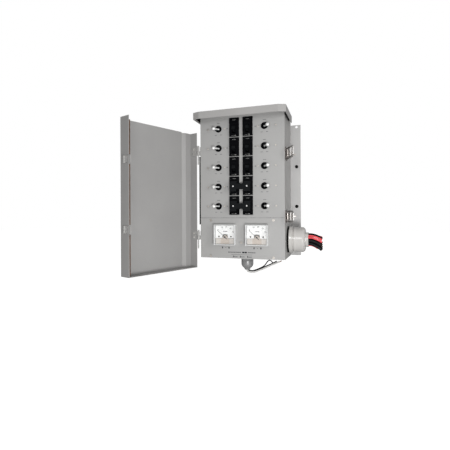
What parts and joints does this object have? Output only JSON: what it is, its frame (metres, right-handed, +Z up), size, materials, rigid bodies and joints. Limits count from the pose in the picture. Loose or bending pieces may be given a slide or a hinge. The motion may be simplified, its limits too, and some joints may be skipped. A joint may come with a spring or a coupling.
{
  "type": "manual transfer switch",
  "caption": "Wall-mounted grey transfer switch cabinet under a rain hood, door open on breakers, toggle switches and two power meters, with side conduit fitting and draw latches.",
  "frame": {"origin": "centre of the back face, on the wall plane, at mid height of the cabinet", "axes": "+Y into the wall, -Y to the front, +Z up, +X to the right seen from the front"},
  "size_m": [0.4137, 0.3357, 0.4062],
  "materials": {
    "cabinet_paint": "light grey powder coat, satin",
    "panel_paint": "light grey enamel, satin",
    "zinc": "zinc plated steel",
    "latch_steel": "stamped and plated",
    "black_plastic": "black moulded plastic",
    "meter_clear": "clear acrylic",
    "dial_white": "white dial card",
    "boss_beige": "pale moulded movement cover",
    "brass": "brass screws",
    "aluminium": "extruded bar",
    "hub_grey": "warm grey moulding",
    "grip_grey": "grey moulding",
    "rubber": "black rubber",
    "wire_black": "black PVC insulation",
    "wire_red": "red PVC insulation",
    "wire_white": "white PVC insulation"
  },
  "bodies": {
    "cabinet": {"back_plate": "cabinet_paint", "cabinet_shell": "cabinet_paint", "rain_hood": "cabinet_paint", "switch_panel": "panel_paint", "meter_panel": "panel_paint", "panel_screws": "zinc", "switch_screws": "zinc", "toggle_plates": "black_plastic", "toggle_bodies": "black_plastic", "breaker_bodies": "black_plastic", "breaker_bracket": "zinc", "meter_bases": "black_plastic", "meter_covers": "meter_clear", "meter_dials": "dial_white", "meter_bosses": "boss_beige", "terminal_bars": "aluminium", "bar_screws": "brass", "hub_gasket": "rubber", "hub_body": "hub_grey", "hub_bush": "hub_grey", "locknuts": "zinc", "grip_body": "grip_grey", "grip_nut": "grip_grey", "hinge_leaves": "cabinet_paint", "latch_bases": "latch_steel", "edge_strip": "rubber", "wire_black": "wire_black", "wire_red_upper": "wire_red", "wire_red_lower": "wire_red", "lead_white": "wire_white", "lead_black": "wire_black"},
    "hinge_pins": {"hinge_pins": "zinc"},
    "door": {"door_panel": "cabinet_paint", "door_leaves": "cabinet_paint", "door_keepers": "latch_steel", "door_screws": "zinc"},
    "lever_upper": {"lever_upper": "latch_steel"},
    "bail_upper": {"bail_upper": "latch_steel"},
    "lever_lower": {"lever_lower": "latch_steel"},
    "bail_lower": {"bail_lower": "latch_steel"},
    "toggle_1": {"toggle_1": "latch_steel"},
    "toggle_2": {"toggle_2": "latch_steel"},
    "toggle_3": {"toggle_3": "latch_steel"},
    "toggle_4": {"toggle_4": "latch_steel"},
    "toggle_5": {"toggle_5": "latch_steel"},
    "toggle_6": {"toggle_6": "latch_steel"},
    "toggle_7": {"toggle_7": "latch_steel"},
    "toggle_8": {"toggle_8": "latch_steel"},
    "toggle_9": {"toggle_9": "latch_steel"},
    "toggle_10": {"toggle_10": "latch_steel"},
    "handle_1": {"handle_1": "black_plastic"},
    "handle_2": {"handle_2": "black_plastic"},
    "handle_3": {"handle_3": "black_plastic"},
    "handle_4": {"handle_4": "black_plastic"},
    "handle_5": {"handle_5": "black_plastic"},
    "handle_6": {"handle_6": "black_plastic"},
    "tied_handles_1": {"tied_handles_1": "black_plastic"},
    "tied_handles_2": {"tied_handles_2": "black_plastic"},
    "needle_left": {"needle_left": "black_plastic"},
    "needle_right": {"needle_right": "black_plastic"}
  },
  "joints": [
    {"name": "door_lift", "type": "slide", "parent": "cabinet", "child": "hinge_pins", "axis": [0, 0, 1], "range_m": [0, 0.024]},
    {"name": "door_swing", "type": "hinge", "parent": "hinge_pins", "child": "door", "pos_m": [-0.1105, -0.1315, -0.016], "axis": [0, 0, -1], "range_deg": [-112, 38]},
    {"name": "latch_lever_upper", "type": "hinge", "parent": "cabinet", "child": "lever_upper", "pos_m": [0.1106, -0.115, 0.076], "axis": [0, 0, -1], "range_deg": [0, 42]},
    {"name": "latch_bail_upper", "type": "hinge", "parent": "lever_upper", "child": "bail_upper", "pos_m": [0.1106, -0.108, 0.076], "axis": [0, 0, 1], "range_deg": [-22, 95]},
    {"name": "latch_lever_lower", "type": "hinge", "parent": "cabinet", "child": "lever_lower", "pos_m": [0.1106, -0.115, -0.076], "axis": [0, 0, -1], "range_deg": [0, 42]},
    {"name": "latch_bail_lower", "type": "hinge", "parent": "lever_lower", "child": "bail_lower", "pos_m": [0.1106, -0.108, -0.076], "axis": [0, 0, 1], "range_deg": [-22, 95]},
    {"name": "toggle_1_throw", "type": "hinge", "parent": "cabinet", "child": "toggle_1", "pos_m": [-0.058, -0.1245, 0.144], "axis": [0, 0, 1], "range_deg": [0, 66]},
    {"name": "toggle_2_throw", "type": "hinge", "parent": "cabinet", "child": "toggle_2", "pos_m": [-0.058, -0.1245, 0.0955], "axis": [0, 0, 1], "range_deg": [0, 66]},
    {"name": "toggle_3_throw", "type": "hinge", "parent": "cabinet", "child": "toggle_3", "pos_m": [-0.058, -0.1245, 0.047], "axis": [0, 0, 1], "range_deg": [0, 66]},
    {"name": "toggle_4_throw", "type": "hinge", "parent": "cabinet", "child": "toggle_4", "pos_m": [-0.058, -0.1245, -0.0015], "axis": [0, 0, 1], "range_deg": [0, 66]},
    {"name": "toggle_5_throw", "type": "hinge", "parent": "cabinet", "child": "toggle_5", "pos_m": [-0.058, -0.1245, -0.05], "axis": [0, 0, 1], "range_deg": [0, 66]},
    {"name": "toggle_6_throw", "type": "hinge", "parent": "cabinet", "child": "toggle_6", "pos_m": [0.058, -0.1245, 0.144], "axis": [0, 0, 1], "range_deg": [-66, 0]},
    {"name": "toggle_7_throw", "type": "hinge", "parent": "cabinet", "child": "toggle_7", "pos_m": [0.058, -0.1245, 0.0955], "axis": [0, 0, 1], "range_deg": [-66, 0]},
    {"name": "toggle_8_throw", "type": "hinge", "parent": "cabinet", "child": "toggle_8", "pos_m": [0.058, -0.1245, 0.047], "axis": [0, 0, 1], "range_deg": [-66, 0]},
    {"name": "toggle_9_throw", "type": "hinge", "parent": "cabinet", "child": "toggle_9", "pos_m": [0.058, -0.1245, -0.0015], "axis": [0, 0, 1], "range_deg": [-66, 0]},
    {"name": "toggle_10_throw", "type": "hinge", "parent": "cabinet", "child": "toggle_10", "pos_m": [0.058, -0.1245, -0.05], "axis": [0, 0, 1], "range_deg": [-66, 0]},
    {"name": "breaker_1_throw", "type": "hinge", "parent": "cabinet", "child": "handle_1", "pos_m": [-0.017, -0.122, 0.1392], "axis": [1, 0, 0], "range_deg": [0, 28]},
    {"name": "breaker_2_throw", "type": "hinge", "parent": "cabinet", "child": "handle_2", "pos_m": [-0.017, -0.122, 0.0907], "axis": [1, 0, 0], "range_deg": [0, 28]},
    {"name": "breaker_3_throw", "type": "hinge", "parent": "cabinet", "child": "handle_3", "pos_m": [-0.017, -0.122, 0.0422], "axis": [1, 0, 0], "range_deg": [0, 28]},
    {"name": "breaker_4_throw", "type": "hinge", "parent": "cabinet", "child": "handle_4", "pos_m": [0.017, -0.122, 0.1392], "axis": [1, 0, 0], "range_deg": [0, 28]},
    {"name": "breaker_5_throw", "type": "hinge", "parent": "cabinet", "child": "handle_5", "pos_m": [0.017, -0.122, 0.0907], "axis": [1, 0, 0], "range_deg": [0, 28]},
    {"name": "breaker_6_throw", "type": "hinge", "parent": "cabinet", "child": "handle_6", "pos_m": [0.017, -0.122, 0.0422], "axis": [1, 0, 0], "range_deg": [0, 28]},
    {"name": "main_breaker_1_throw", "type": "hinge", "parent": "cabinet", "child": "tied_handles_1", "pos_m": [0, -0.122, -0.0063], "axis": [1, 0, 0], "range_deg": [0, 28]},
    {"name": "main_breaker_2_throw", "type": "hinge", "parent": "cabinet", "child": "tied_handles_2", "pos_m": [0, -0.122, -0.0548], "axis": [1, 0, 0], "range_deg": [0, 28]},
    {"name": "meter_needle_left", "type": "hinge", "parent": "cabinet", "child": "needle_left", "pos_m": [-0.04, -0.136, -0.127], "axis": [0, 1, 0], "range_deg": [0, 96], "stiffness_Nm_per_rad": 0.00005},
    {"name": "meter_needle_right", "type": "hinge", "parent": "cabinet", "child": "needle_right", "pos_m": [0.04, -0.136, -0.127], "axis": [0, 1, 0], "range_deg": [0, 96], "stiffness_Nm_per_rad": 0.00005}
  ]
}
